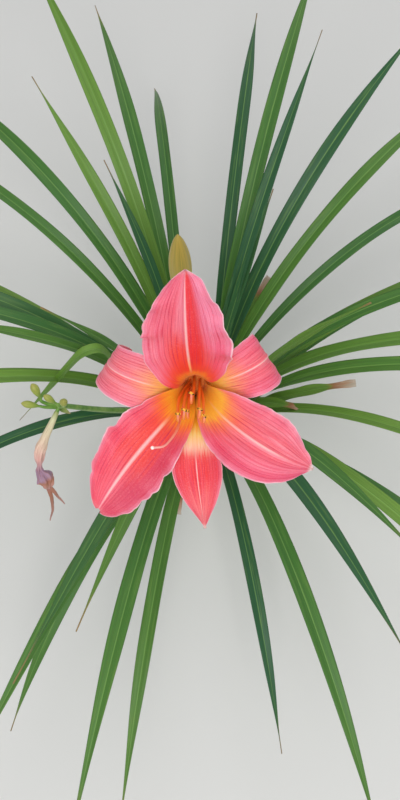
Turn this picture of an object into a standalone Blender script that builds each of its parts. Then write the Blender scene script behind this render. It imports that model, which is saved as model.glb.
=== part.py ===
"""A daylily plant, cut flat through its crown: leaf fans, a tall scape in bloom and a shorter budding scape.

Metres, +Z up. The origin is the middle of the flat cut face underneath, and the bloom looks towards -Y.
"""

import math
import random

import bmesh
import bpy
import numpy as np
from mathutils import Vector

MM = 0.001
GAP = 0.3 * MM  # clearance where one piece is seated on another

# The crown, a knobbly rhizome with one lobe under each fan
CROWN_HEIGHT = 22 * MM
CROWN_CORE = 34 * MM
LOBE_REACH = 14 * MM
LOBE_HALF_ANGLE = math.radians(32)
CROWN_SIDES = 36
ROOT_STUBS = 9

# The fans, each given by the bounds of its own sector round the crown, in degrees
FAN_SECTORS = ((-123, -94), (-86, -30), (-30, 30), (30, 90), (90, 150), (150, 214))
FAN_RING = 30 * MM
FAN_HEIGHT = 62 * MM
FAN_HALF_WIDTH = 9.5 * MM
FAN_HALF_DEPTH = 6.0 * MM
FAN_SIDES = 10

# The leaves of a fan from the outermost pair to the youngest: share of the half sector, length, lean at the
# base and at the tip in degrees, and half width
LEAF_RANKS = (
    (-0.88, 0.38, 24, 132, 5.6 * MM),
    (0.84, 0.41, 22, 126, 6.0 * MM),
    (-0.56, 0.46, 17, 112, 6.6 * MM),
    (0.52, 0.45, 15, 104, 6.8 * MM),
    (-0.22, 0.42, 11, 84, 6.6 * MM),
    (0.20, 0.36, 8, 66, 6.0 * MM),
    (0.0, 0.25, 4, 36, 4.6 * MM),
)

# Short leaves that died back to a blunt end: fan, heading in degrees, length, lean at the base and at the tip
BLUNT_LEAVES = (
    (1, -98, 0.10, 12, 130),
    (3, -25, 0.122, 6, 66),
    (3, 1, 0.136, 34, 73),
    (4, 57, 0.14, 6, 80),
)
BLUNT_HALF_WIDTH = 5.4 * MM
BLUNT_TIP = 3.4 * MM

# One narrow leaf that buckled and hangs from its bend: fan, heading, length, lean below and past the bend,
# half width, and where along it the bend is
BUCKLED_LEAF = (6, 200, 0.325, 14, 144, 4.6 * MM, 0.59)
BUCKLED_STEPS = 14
LEAF_THICKNESS = 0.8 * MM
LEAF_TIP = 0.9 * MM

# The scapes, as centre points, with the radius at the foot and at the head
SCAPE_A = ((0.003, -0.010), (0.004, -0.040, 0.160), (0.001, -0.080, 0.300), (-0.002, -0.106, 0.392))
SCAPE_B = ((-0.010, 0.004), (-0.040, -0.022, 0.105), (-0.078, -0.055, 0.195), (-0.103, -0.078, 0.262))
SCAPE_FOOT = 3.4 * MM
SCAPE_HEAD = 2.3 * MM
SCAPE_SIDES = 8

# The bloom: where the floor of its throat is, and how far its axis stands above the horizontal
THROAT = Vector((-0.0024, -0.1459, 0.4656))
BLOOM_RISE = math.radians(55)
TUBE_LENGTH = 28 * MM
THROAT_RADIUS = 4.8 * MM
BASE_HALF_WIDTH = 3.9 * MM
SEPAL_SETBACK = 2.0 * MM
TEPAL_THICKNESS = 0.7 * MM
TEPAL_STEPS = 13
TEPAL_COLUMNS = 6
TEPAL_TIP = 0.8 * MM

BUD_FOOT = 0.34  # a bud's radius at its foot, as a share of its fullest

FILAMENT_RADIUS = 0.75 * MM
STAMEN_RING = 2.9 * MM
ANTHER_LENGTH = 3.2 * MM
ANTHER_RADIUS = 0.75 * MM
ANTHER_DROOP = 0.5 * MM
STYLE_RADIUS = 0.6 * MM
STIGMA_RADIUS = 1.0 * MM

for old in list(bpy.data.objects):
    bpy.data.objects.remove(old, do_unlink=True)


def material(name, colour, roughness):
    made = bpy.data.materials.new(name)
    made.use_nodes = True
    shader = made.node_tree.nodes["Principled BSDF"]
    shader.inputs["Base Color"].default_value = (*colour, 1)
    shader.inputs["Roughness"].default_value = roughness
    shader.inputs["Metallic"].default_value = 0
    return made


RHIZOME = material("rhizome", (0.30, 0.20, 0.11), 0.85)
LEAF = material("leaf", (0.07, 0.19, 0.03), 0.45)
STALK = material("stalk", (0.16, 0.28, 0.05), 0.5)
PETAL = material("petal", (0.85, 0.13, 0.14), 0.5)
SEPAL = material("sepal", (0.86, 0.22, 0.17), 0.5)
FLOWER_TUBE = material("flower_tube", (0.45, 0.45, 0.08), 0.5)
FILAMENT = material("filament", (0.90, 0.28, 0.08), 0.5)
ANTHER = material("anther", (0.06, 0.03, 0.02), 0.8)
STYLE = material("style", (0.92, 0.52, 0.42), 0.5)
BUD = material("bud", (0.34, 0.38, 0.06), 0.5)
WITHERED = material("withered", (0.52, 0.30, 0.24), 0.8)


def solid(name, points, faces, finish):
    """A closed mesh object with its faces pointing out."""
    mesh = bpy.data.meshes.new(name)
    mesh.from_pydata([tuple(p) for p in points], [], faces)
    shell = bmesh.new()
    shell.from_mesh(mesh)
    bmesh.ops.recalc_face_normals(shell, faces=shell.faces)
    shell.to_mesh(mesh)
    shell.free()
    mesh.materials.append(finish)
    mesh.shade_smooth()
    mesh.set_sharp_from_angle(angle=math.radians(40))
    made = bpy.data.objects.new(name, mesh)
    bpy.context.scene.collection.objects.link(made)
    return made


def keep_outside(mesh):
    """Fills any hollow that a union sealed and drops its scraps: only the widest connected surface stays."""
    shell = bmesh.new()
    shell.from_mesh(mesh)
    left = set(shell.verts)
    groups = []
    while left:
        group, edge = set(), [left.pop()]
        while edge:
            vert = edge.pop()
            group.add(vert)
            near = {link.other_vert(vert) for link in vert.link_edges} & left
            left -= near
            edge += near
        groups.append(group)
    widest = max(groups, key=len)
    bmesh.ops.delete(shell, geom=[v for v in shell.verts if v not in widest], context="VERTS")
    shell.to_mesh(mesh)
    shell.free()


def joined(name, pieces, finish):
    """The first piece united with the others in one closed body."""
    first, rest = pieces[0], pieces[1:]
    bunch = bpy.data.collections.new(name + "_parts")
    bpy.context.scene.collection.children.link(bunch)
    for piece in rest:
        bunch.objects.link(piece)
        bpy.context.scene.collection.objects.unlink(piece)
    union = first.modifiers.new("union", "BOOLEAN")
    union.operation = "UNION"
    union.operand_type = "COLLECTION"
    union.collection = bunch
    union.solver = "EXACT"
    graph = bpy.context.evaluated_depsgraph_get()
    mesh = bpy.data.meshes.new_from_object(first.evaluated_get(graph))
    keep_outside(mesh)
    first.modifiers.clear()
    first.data = mesh
    first.name = name
    mesh.name = name
    mesh.materials.clear()
    mesh.materials.append(finish)
    for piece in rest:
        bpy.data.objects.remove(piece, do_unlink=True)
    bpy.data.collections.remove(bunch)
    return first


def smooth(x):
    """0 to 1 with an easy start and end."""
    x = np.clip(x, 0, 1)
    return x * x * (3 - 2 * x)


def curve(points, steps):
    """Points along a Catmull-Rom curve through the given ones."""
    given = [np.array(p, float) for p in points]
    given = [2 * given[0] - given[1], *given, 2 * given[-1] - given[-2]]
    spans = len(given) - 3
    out = []
    for k in range(steps + 1):
        where = min(k / steps * spans, spans - 1e-9)
        i, t = int(where), where - int(where)
        a, b, c, d = given[i : i + 4]
        bent = (2 * a - 5 * b + 4 * c - d) * t**2 + (3 * b - a - 3 * c + d) * t**3
        out.append(0.5 * (2 * b + (c - a) * t + bent))
    return np.array(out)


def limb(name, centres, radii, sides, finish, flat_foot=False):
    """A round stem, bud or strand: one ring of points for each centre, closed at both ends."""
    along = np.gradient(centres, axis=0)
    along /= np.linalg.norm(along, axis=1)[:, None]
    if flat_foot:
        along[0] = (0, 0, 1)
    side = np.cross(along[0], (0.3, 1, 0.2))
    points = []
    for centre, way, radius in zip(centres, along, radii):
        side = side - way * (side @ way)
        side /= np.linalg.norm(side)
        other = np.cross(way, side)
        for k in range(sides):
            turn = 2 * math.pi * k / sides
            points.append(centre + radius * (math.cos(turn) * side + math.sin(turn) * other))
    faces = []
    for i in range(len(centres) - 1):
        for k in range(sides):
            a, b = i * sides + k, i * sides + (k + 1) % sides
            faces += [(a, b, b + sides), (a, b + sides, a + sides)]
    last = (len(centres) - 1) * sides
    faces.append(tuple(range(sides))[::-1])
    faces.append(tuple(range(last, last + sides)))
    return solid(name, points, faces, finish)


def sheet(name, upper, lower, finish):
    """A thin blade between two grids of points, split into the same triangles on both faces."""
    rows, columns = upper.shape[:2]
    points = np.concatenate([upper.reshape(-1, 3), lower.reshape(-1, 3)])
    under = rows * columns
    faces = []
    for i in range(rows - 1):
        for j in range(columns - 1):
            a = i * columns + j
            b, c, d = a + 1, a + columns + 1, a + columns
            faces += [(a, b, c), (a, c, d)]
            faces += [(under + c, under + b, under + a), (under + d, under + c, under + a)]
    edge = [j for j in range(columns)]
    edge += [i * columns + columns - 1 for i in range(1, rows)]
    edge += [(rows - 1) * columns + j for j in range(columns - 2, -1, -1)]
    edge += [i * columns for i in range(rows - 2, 0, -1)]
    for a, b in zip(edge, edge[1:] + edge[:1]):
        faces += [(a, under + a, under + b), (a, under + b, b)]
    return solid(name, points, faces, finish)


def crown():
    """The lobed rhizome, flat where it is cut and where the fans stand, with trimmed roots round its side."""
    middles = [math.radians((low + high) / 2) for low, high in FAN_SECTORS]
    levels = ((0, 0.90), (0.18, 0.99), (0.5, 1.03), (0.8, 0.98), (1, 0.86))
    points = []
    for level, share in levels:
        for k in range(CROWN_SIDES):
            turn = 2 * math.pi * k / CROWN_SIDES
            lobe = max(math.cos((turn - middle + math.pi) % (2 * math.pi) - math.pi) for middle in middles)
            near = max(0, (lobe - math.cos(LOBE_HALF_ANGLE)) / (1 - math.cos(LOBE_HALF_ANGLE)))
            radius = (CROWN_CORE + LOBE_REACH * near**0.6) * share
            radius += 0.8 * MM * math.sin(5 * turn + 9 * level)
            points.append((radius * math.cos(turn), radius * math.sin(turn), level * CROWN_HEIGHT))
    faces = []
    for i in range(len(levels) - 1):
        for k in range(CROWN_SIDES):
            a, b = i * CROWN_SIDES + k, i * CROWN_SIDES + (k + 1) % CROWN_SIDES
            faces += [(a, b, b + CROWN_SIDES), (a, b + CROWN_SIDES, a + CROWN_SIDES)]
    last = (len(levels) - 1) * CROWN_SIDES
    faces.append(tuple(range(CROWN_SIDES))[::-1])
    faces.append(tuple(range(last, last + CROWN_SIDES)))
    pieces = [solid("crown", points, faces, RHIZOME)]
    draw = random.Random(5)
    for k in range(ROOT_STUBS):
        turn = 2 * math.pi * (k + draw.uniform(-0.25, 0.25)) / ROOT_STUBS
        out = np.array((math.cos(turn), math.sin(turn), 0))
        height = draw.uniform(7, 11) * MM
        length = draw.uniform(9, 15) * MM
        start = out * 32 * MM + np.array((0, 0, height))
        end = out * (42 * MM + length) + np.array((0, 0, height - 2.5 * MM))
        path = curve([start, (start + end) / 2 + np.array((0, 0, 1 * MM)), end], 3)
        pieces.append(limb("root_stub", path, (2.4 * MM, 2.2 * MM, 1.9 * MM, 1.5 * MM), 6, RHIZOME))
    return joined("crown", pieces, RHIZOME)


def leaf(foot, heading, length, leans, half_width, twist=0, drift=0, tip=LEAF_TIP, steps=8, bend=None):
    """A keeled strap leaf: folded at its foot, open along its arch, or straight on both sides of its bend."""
    s = np.linspace(0, 1, steps + 1)
    arch = 0.25 * s + 0.75 * smooth(s * 1.02) if bend is None else smooth((s - bend) / 0.1)
    steep = np.radians(leans[0] + (leans[1] - leans[0]) * arch)
    turn = heading + math.radians(drift) * s**2
    step = length / steps
    way = np.stack([np.sin(steep) * np.cos(turn), np.sin(steep) * np.sin(turn), np.cos(steep)], 1)
    up = np.stack([-np.cos(steep) * np.cos(turn), -np.cos(steep) * np.sin(turn), np.sin(steep)], 1)
    middle = (way[1:] + way[:-1]) / 2
    centres = np.array(foot) + np.concatenate([np.zeros((1, 3)), np.cumsum(middle * step, axis=0)])
    width = half_width * (0.74 + 0.26 * smooth(s / 0.3)) * (1 - smooth((s - 0.6) / 0.42) ** 1.4)
    width = np.maximum(width, tip)
    fold = np.radians(62 - 40 * smooth(s / 0.35) - 8 * s)
    roll = math.radians(twist) * smooth((s - 0.15) / 0.85)
    upper, lower = [], []
    for i in range(steps + 1):
        across = np.cross(way[i], up[i])
        side = across * math.cos(roll[i]) + up[i] * math.sin(roll[i])
        lift = up[i] * math.cos(roll[i]) - across * math.sin(roll[i])
        spread = width[i] * math.cos(fold[i]) * side
        rise = width[i] * math.sin(fold[i]) * lift
        row = [centres[i] + k * spread + abs(k) * rise for k in (-1, 0, 1)]
        upper.append(row)
        lower.append([p - LEAF_THICKNESS * lift / max(math.cos(fold[i]), 0.5) for p in row])
    return sheet("leaf", np.array(upper), np.array(lower), LEAF)


def fan(number, low, high):
    """Leaves that rise from one sheathed foot, their ranks spread to both sides of the sector's middle."""
    draw = random.Random(100 + number)
    middle = math.radians((low + high) / 2)
    half = math.radians((high - low) / 2 - 3)
    out = np.array((math.cos(middle), math.sin(middle), 0))
    across = np.array((-math.sin(middle), math.cos(middle), 0))
    floor = CROWN_HEIGHT + GAP
    points = []
    levels = ((0, 1.0), (0.12, 1.06), (0.45, 0.86), (0.8, 0.62), (1, 0.44))
    for level, share in levels:
        centre = out * (FAN_RING + 3 * MM * level) + np.array((0, 0, floor + level * FAN_HEIGHT))
        for k in range(FAN_SIDES):
            turn = 2 * math.pi * k / FAN_SIDES
            wide = FAN_HALF_WIDTH * share * math.cos(turn)
            points.append(centre + wide * across + FAN_HALF_DEPTH * share * math.sin(turn) * out)
    faces = []
    for i in range(len(levels) - 1):
        for k in range(FAN_SIDES):
            a, b = i * FAN_SIDES + k, i * FAN_SIDES + (k + 1) % FAN_SIDES
            faces += [(a, b, b + FAN_SIDES), (a, b + FAN_SIDES, a + FAN_SIDES)]
    last = (len(levels) - 1) * FAN_SIDES
    faces.append(tuple(range(FAN_SIDES))[::-1])
    faces.append(tuple(range(last, last + FAN_SIDES)))
    pieces = [solid("sheath", points, faces, LEAF)]
    for share, length, lean, tip_lean, half_width in LEAF_RANKS:
        height = floor + (8 + 14 * (1 - abs(share))) * MM
        foot = out * (FAN_RING + 1 * MM) + across * share * 3.4 * MM + np.array((0, 0, height))
        heading = middle + share * half
        pieces.append(
            leaf(
                foot,
                heading,
                length * draw.uniform(0.9, 1.12),
                (lean + draw.uniform(-3, 3), tip_lean + draw.uniform(-12, 10)),
                half_width,
                draw.uniform(-25, 25),
                draw.uniform(-6, 6) * (1 - abs(share)),
            )
        )
    foot = out * (FAN_RING + 2 * MM) + np.array((0, 0, floor + 14 * MM))
    for home, heading, length, lean, tip_lean in BLUNT_LEAVES:
        if home == number:
            way = math.radians(heading)
            leans = (lean, tip_lean)
            pieces.append(leaf(foot, way, length, leans, BLUNT_HALF_WIDTH, tip=BLUNT_TIP, steps=5))
    home, heading, length, lean, tip_lean, half_width, bend = BUCKLED_LEAF
    if home == number:
        way = math.radians(heading)
        leans = (lean, tip_lean)
        pieces.append(leaf(foot, way, length, leans, half_width, steps=BUCKLED_STEPS, bend=bend))
    return joined(f"fan_{number}", pieces, LEAF)


def in_bloom(points):
    """Points of the bloom's own frame, with its axis on +Z and its top towards +Y, placed on the plant."""
    points = np.asarray(points, float)
    top = np.array((0, math.sin(BLOOM_RISE), math.cos(BLOOM_RISE)))
    axis = np.array((0, -math.cos(BLOOM_RISE), math.sin(BLOOM_RISE)))
    return np.array(THROAT) + points[..., :1] * (1, 0, 0) + points[..., 1:2] * top + points[..., 2:] * axis


def tepal(name, azimuth, length, leans, half_width, shape, sweep, roll, cup, ruffle, finish, setback=0):
    """A petal or sepal. leans are its angles from the bloom's axis at foot, mouth, middle and tip."""
    broad, blunt = shape
    depth, waves = ruffle
    s = np.linspace(0, 1, TEPAL_STEPS + 1)
    foot, mouth, half, tip = np.radians(leans)
    lean = foot + (mouth - foot) * smooth(s / 0.3) + (half - mouth) * smooth((s - 0.2) / 0.38)
    lean += (tip - half) * smooth((s - 0.5) / 0.5)
    step = length / TEPAL_STEPS
    between = (lean[1:] + lean[:-1]) / 2
    out = THROAT_RADIUS + setback + np.concatenate([[0], np.cumsum(np.sin(between)) * step])
    height = np.concatenate([[0], np.cumsum(np.cos(between)) * step])
    ends = np.maximum(1 - np.clip((s - broad) / (1 - broad), 0, 1) ** 1.8, 0) ** blunt
    width = (BASE_HALF_WIDTH + (half_width - BASE_HALF_WIDTH) * smooth(s / broad)) * ends
    width = np.maximum(width, TEPAL_TIP)
    opened = smooth((s - 0.22) / 0.33)
    bend = (1 - opened) / out + cup * opened
    t = np.linspace(-1, 1, TEPAL_COLUMNS + 1)
    across, arc = width[:, None] * t, bend[:, None]
    sideways = np.sin(across * arc) / arc
    lift = (1 - np.cos(across * arc)) / arc
    grown = smooth((s - 0.3) / 0.3) * (1 - smooth((s - 0.93) / 0.07))
    wave = np.sin(2 * math.pi * waves * s[:, None] + (t > 0) * 1.9)
    lift = lift + depth * np.abs(t) ** 2.5 * grown[:, None] * wave
    turned = (roll * smooth((s - 0.25) / 0.4))[:, None]
    drift = sweep * np.maximum(s - 0.3, 0) ** 2 / 0.49
    aside = sideways * np.cos(turned) - lift * np.sin(turned) + drift[:, None]
    raised = sideways * np.sin(turned) + lift * np.cos(turned)
    radial = out[:, None] - np.cos(lean)[:, None] * raised
    level = height[:, None] + np.sin(lean)[:, None] * raised
    angle = math.radians(azimuth)
    upper = np.stack(
        [
            radial * math.cos(angle) - aside * math.sin(angle),
            radial * math.sin(angle) + aside * math.cos(angle),
            level,
        ],
        -1,
    )
    normal = np.cross(np.gradient(upper, axis=1), np.gradient(upper, axis=0))
    normal /= np.linalg.norm(normal, axis=-1)[..., None]
    inwards = -np.array((math.cos(angle), math.sin(angle), 0))
    if normal[1, TEPAL_COLUMNS // 2] @ inwards > 0:
        normal = -normal
    lower = upper + TEPAL_THICKNESS * normal
    lower[0, :, 2] = upper[0, :, 2]
    return sheet(name, in_bloom(upper), in_bloom(lower), finish)


def bloom():
    """The open flower: a funnel-shaped tube, petals over narrower sepals, the stamens and the style."""
    tube = [(0, 0, z * MM) for z in (-28, -24, -18, -9, -0.3)]
    tube[-1] = (0, 0, -GAP)
    limb("flower_tube", in_bloom(tube), [r * MM for r in (2.4, 3.6, 4.0, 5.2, 8.2)], 14, FLOWER_TUBE)

    # Each petal and sepal: azimuth, length and leans, half width, where it is broadest and how blunt its tip
    # is, how far the tip sweeps aside, roll, and the depth and number of its ruffles, in mm and degrees, with
    # the roll in radians
    tepals = (
        ("petal_top", 99.7, 98, (4, 20, 50, 72), 22.2, (0.58, 0.73), -6.9, -0.35, (1.8, 6)),
        ("petal_left", 219, 94, (4, 20, 72, 73), 18.8, (0.675, 0.51), 10.9, 0.21, (1.4, 6)),
        ("petal_right", 324, 94, (4, 20, 50, 110), 18.5, (0.685, 0.95), 7.4, -0.43, (1.0, 5)),
        ("sepal_right", 24, 74, (4, 22, 74, 235), 14.3, (0.70, 0.51), 4.5, -0.15, (0.4, 4)),
        ("sepal_left", 167, 87, (4, 22, 91, 235), 13.4, (0.53, 0.71), -10.1, 0.37, (0.4, 4)),
        ("sepal_low", 268.8, 83, (4, 22, 63, 86), 12.6, (0.654, 1.2), 6.3, 0.08, (0.4, 4)),
    )
    cup, flare = 6.0, -4.0  # curvature across the petals and sepals, per metre
    for name, azimuth, length, leans, half_width, shape, sweep, roll, (depth, waves) in tepals:
        length, half_width, sweep = length * MM, half_width * MM, sweep * MM
        kind = (cup, (depth * MM, waves), PETAL, 0)
        if name.startswith("sepal"):
            kind = (flare, (depth * MM, waves), SEPAL, SEPAL_SETBACK)
        tepal(name, azimuth, length, leans, half_width, shape, sweep, roll, *kind)

    # Each stamen: the angle of its foot on the ring, its anther's slant, and where its filament bulges, sags
    # and ends, in mm across, up and out along the bloom's axis
    stamens = (
        (100, -40, (-0.7, 1.6, 27), (-1.7, 0.4, 50), (-1.6, 6.3, 58)),
        (160, -5, (-8.0, -2.5, 30), (-8.0, -6.7, 54), (-7.8, -2.5, 62)),
        (205, -35, (-5.0, -1.2, 30), (-5.2, -6.0, 54), (-4.9, -0.4, 63)),
        (265, -30, (-2.9, -2.9, 28), (-3.3, -6.5, 50), (-3.6, -2.3, 57)),
        (325, -45, (4.0, -2.0, 30), (4.3, -7.4, 54), (4.5, -3.7, 61)),
        (30, -35, (2.1, -0.2, 28), (1.9, -5.5, 54), (2.5, -0.4, 62)),
    )
    for number, (turn, slant, bulge, sag, tip) in enumerate(stamens, 1):
        turn, slant = math.radians(turn), math.radians(slant)
        foot = np.array((STAMEN_RING * math.cos(turn), STAMEN_RING * math.sin(turn), 0))
        bulge, sag, tip = (np.array(place) * MM for place in (bulge, sag, tip))
        path = curve([foot, bulge, sag, tip], 9)
        limb(f"filament_{number}", in_bloom(path), [FILAMENT_RADIUS] * 10, 6, FILAMENT)
        way = (path[-1] - path[-2]) / np.linalg.norm(path[-1] - path[-2])
        lie = np.array((math.cos(slant), math.sin(slant), 0))
        lie -= way * (lie @ way)
        lie /= np.linalg.norm(lie)
        droop = np.cross(way, lie)
        seat = tip + way * (ANTHER_RADIUS + GAP + 0.2 * MM)
        places = (-0.5, -0.35, 0, 0.35, 0.5)
        ends = [seat + lie * ANTHER_LENGTH * k - droop * ANTHER_DROOP * (2 * k) ** 2 for k in places]
        swell = [ANTHER_RADIUS * k for k in (0.35, 0.85, 1, 0.85, 0.35)]
        limb(f"anther_{number}", in_bloom(ends), swell, 6, ANTHER)

    style = [(0, 0, 0), (-4.9, -4.0, 24), (-7.1, -8.9, 46), (-8.7, -11.5, 57), (-11.4, -13.8, 65)]
    style += [(-14.5, -15.2, 71), (-19.8, -14.5, 76)]
    style = curve(np.array(style) * MM, 15)
    radii = [STYLE_RADIUS] * 15 + [STIGMA_RADIUS]
    limb("pistil", in_bloom(style), radii, 6, STYLE)


def bud(name, foot, tip, radius):
    """A closed flower bud: a spindle on a short stalk, fullest past its middle."""
    foot, tip = np.array(foot), np.array(tip)
    path = curve([foot, (foot + tip) / 2, tip], 9)
    shape = (BUD_FOOT, BUD_FOOT, 0.58, 0.74, 0.88, 0.98, 1.0, 0.90, 0.62, 0.22)
    limb(name, path, [radius * k for k in shape], 8, BUD)


def branch(head, foot, tip, thick, slim):
    """A short side stalk from a scape's head that ends squarely under a bud's foot."""
    way = (np.array(tip) - foot) / np.linalg.norm(np.array(tip) - foot)
    path = curve([head - (0, 0, 4 * MM), np.array(foot) - way * 4 * MM, np.array(foot) - way * GAP], 4)
    path[-2] = path[-1] - way * 2 * MM
    return limb("branch", path, np.linspace(thick, slim, 5), 6, STALK)


def bract(foot, way, length, half_width):
    """A small pointed scale that clasps the scape under a branch."""
    foot, way = np.array(foot), np.array(way, float)
    way /= np.linalg.norm(way)
    side = np.cross(way, (0, 0, 1))
    side /= np.linalg.norm(side)
    lift = np.cross(side, way)
    upper = []
    for share, wide in ((0, 0.7), (0.35, 1), (0.7, 0.6), (1, 0.12)):
        centre = foot + way * length * share + lift * length * 0.12 * share**2
        spread = half_width * wide * side
        rise = 0.35 * half_width * wide * lift
        upper.append([centre + k * spread + abs(k) * rise for k in (-1, 0, 1)])
    upper = np.array(upper)
    return sheet("bract", upper, upper - 0.9 * MM * lift, STALK)


def scapes():
    """The leafless stalks: the tall one holds the bloom, the short one small buds and a spent flower."""
    floor = CROWN_HEIGHT + GAP
    tall = curve([(*SCAPE_A[0], floor), *SCAPE_A[1:]], 12)
    radii = np.linspace(SCAPE_FOOT, SCAPE_HEAD, 13)
    pieces = [limb("scape_tall", tall, radii, SCAPE_SIDES, STALK, flat_foot=True)]
    head = tall[-1]
    tube_foot, throat = in_bloom([(0, 0, -TUBE_LENGTH), (0, 0, 0)])
    pieces.append(branch(head, tube_foot, throat, 2.1 * MM, 2.3 * MM))
    buds = (
        ("bud_ripe", (-0.009, -0.083, 0.414), (-0.012, -0.066, 0.480), 6.6 * MM),
        ("bud_green", (0.010, -0.111, 0.401), (0.030, -0.121, 0.428), 4.2 * MM),
        ("bud_small", (0.005, -0.119, 0.393), (0.015, -0.139, 0.404), 3.0 * MM),
        ("bud_tiny", (-0.013, -0.112, 0.399), (-0.026, -0.121, 0.411), 2.6 * MM),
    )
    for name, foot, tip, radius in buds:
        pieces.append(branch(head, foot, tip, 1.7 * MM, radius * BUD_FOOT))
        bud(name, foot, tip, radius)
    pieces.append(bract(head - (0, 0, 9 * MM), (0.75, 0.35, 0.75), 21 * MM, 3.4 * MM))
    pieces.append(bract(head - (0, 0, 7 * MM), (-0.7, 0.25, 0.7), 17 * MM, 3.0 * MM))
    pieces.append(bract(tall[7], (-0.4, 0.45, 0.9), 24 * MM, 3.2 * MM))
    joined("scape_tall", pieces, STALK)

    short = curve([(*SCAPE_B[0], floor), *SCAPE_B[1:]], 10)
    radii = np.linspace(2.9 * MM, 1.9 * MM, 11)
    pieces = [limb("scape_short", short, radii, SCAPE_SIDES, STALK, flat_foot=True)]
    head = short[-1]
    buds = (
        ("bud_left_1", (-0.1155, -0.0755, 0.270), (-0.1205, -0.069, 0.281), 3.2 * MM),
        ("bud_left_2", (-0.104, -0.080, 0.271), (-0.1115, -0.0775, 0.280), 2.7 * MM),
        ("bud_left_3", (-0.116, -0.080, 0.265), (-0.129, -0.080, 0.271), 2.8 * MM),
        ("bud_left_4", (-0.0985, -0.081, 0.270), (-0.0965, -0.0835, 0.284), 3.0 * MM),
    )
    for name, foot, tip, radius in buds:
        pieces.append(branch(head, foot, tip, 1.5 * MM, radius * BUD_FOOT))
        bud(name, foot, tip, radius)
    pieces.append(bract(head - (0, 0, 5 * MM), (0.8, -0.6, 0.35), 12 * MM, 2.2 * MM))
    spent_foot = head + np.array((-0.0015, -0.0045, -0.002))
    spent_way = np.array((-0.40, -0.88, -0.24))
    pieces.append(branch(head, spent_foot, spent_foot + spent_way, 1.6 * MM, 1.4 * MM))
    joined("scape_short", pieces, STALK)

    way = [(0, 0, 0), (-5, -11, -3), (-9.5, -19, -8), (-13, -26, -14), (-13.8, -33, -21)]
    way += [(-13.5, -37.5, -25), (-9.5, -42.5, -29), (-8, -47, -34)]
    path = curve(spent_foot + np.array(way) * MM, 14)
    radii = [r * MM for r in (1.7, 2.2, 2.6, 2.9, 3.4, 4.0, 4.2, 3.0, 1.9, 1.8, 2.6, 5.0, 5.6, 4.2, 2.0)]
    spent = [limb("spent_flower", path, radii, 8, WITHERED)]
    for bow, end in (((2, -10, -12), (-1, -18.5, -24)), ((5.5, -4, -5.5), (11, -9, -12))):
        tail = curve([path[-2], path[-1] + np.array(bow) * MM, path[-1] + np.array(end) * MM], 4)
        spent.append(limb("tail", tail, [r * MM for r in (1.8, 1.2, 0.9, 0.7, 0.5)], 5, WITHERED))
    joined("spent_flower", spent, WITHERED)


crown()
for index, (sector_low, sector_high) in enumerate(FAN_SECTORS, 1):
    fan(index, sector_low, sector_high)
scapes()
bloom()
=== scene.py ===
"""A daylily in bloom, cut flat through its crown and standing on it, in its finishes and fine surfaces."""

import math
import random

import bmesh
import bpy
import numpy as np
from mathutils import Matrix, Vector, noise


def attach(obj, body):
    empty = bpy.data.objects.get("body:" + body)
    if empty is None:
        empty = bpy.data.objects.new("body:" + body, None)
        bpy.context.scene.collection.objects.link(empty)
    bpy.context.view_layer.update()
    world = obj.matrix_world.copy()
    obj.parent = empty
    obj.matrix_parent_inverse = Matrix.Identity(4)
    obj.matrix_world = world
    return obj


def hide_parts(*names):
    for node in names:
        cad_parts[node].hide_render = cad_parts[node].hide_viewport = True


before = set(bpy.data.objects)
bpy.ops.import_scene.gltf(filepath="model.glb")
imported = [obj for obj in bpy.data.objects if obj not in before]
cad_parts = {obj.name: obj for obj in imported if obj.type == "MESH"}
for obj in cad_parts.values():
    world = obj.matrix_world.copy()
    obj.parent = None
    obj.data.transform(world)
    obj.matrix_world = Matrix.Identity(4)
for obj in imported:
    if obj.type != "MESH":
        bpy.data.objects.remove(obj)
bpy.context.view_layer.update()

# The camera. It looks down into the bloom from half a metre, steeply, as someone who bends over the plant
# does. The bloom's middle lies a little left of the picture's, and the flower tilts forward of the line of
# sight.
MM = 0.001
BLOOM_MIDDLE = Vector((-0.0024, -0.17, 0.50))
VIEW_DISTANCE = 0.5
VIEW_HEIGHT_ANGLE = math.radians(68)
FOCAL_PIXELS = 1035
PICTURE_HEIGHT = 800
MIDDLE_LEFT_OF_CENTRE = 5  # pixels in the 400 x 800 picture
lens = bpy.data.cameras.new("camera")
lens.sensor_width = 36
lens.lens = FOCAL_PIXELS * lens.sensor_width / PICTURE_HEIGHT
camera = bpy.data.objects.new("camera", lens)
back = Vector((0, -math.cos(VIEW_HEIGHT_ANGLE), math.sin(VIEW_HEIGHT_ANGLE)))
aside = Vector((MIDDLE_LEFT_OF_CENTRE / FOCAL_PIXELS * VIEW_DISTANCE, 0, 0))
camera.location = BLOOM_MIDDLE + back * VIEW_DISTANCE + aside
camera.rotation_euler = (math.pi / 2 - VIEW_HEIGHT_ANGLE, 0, 0)
bpy.context.scene.collection.objects.link(camera)
bpy.context.scene.camera = camera
bpy.context.scene.view_settings.view_transform = "Standard"

# The floor and the light. A plain pale floor lies under the cut crown. A soft lamp stands in front, weaker
# ones above and behind, and a small one looks into the bloom. They stand for a bright overcast day, which
# lights the bloom evenly and leaves only soft shade in its throat.
FLOOR_SIZE = 6.0
FLOOR_COLOUR = (0.80, 0.79, 0.76)
FLOOR_SHADE = (0.70, 0.69, 0.66)
LAMPS = (  # name, place, width in metres, power in watts
    ("lamp_front", (-0.4, -1.3, 1.7), 1.0, 10),
    ("lamp_throat", (0.05, -0.75, 1.34), 0.35, 4.3),
    ("lamp_above", (0.4, 0.4, 2.0), 1.6, 6),
    ("lamp_behind", (0.4, 1.6, 1.3), 1.4, 4),
)
SKY_COLOUR = (0.93, 0.96, 1.0, 1)
SKY_STRENGTH = 0.44


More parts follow.
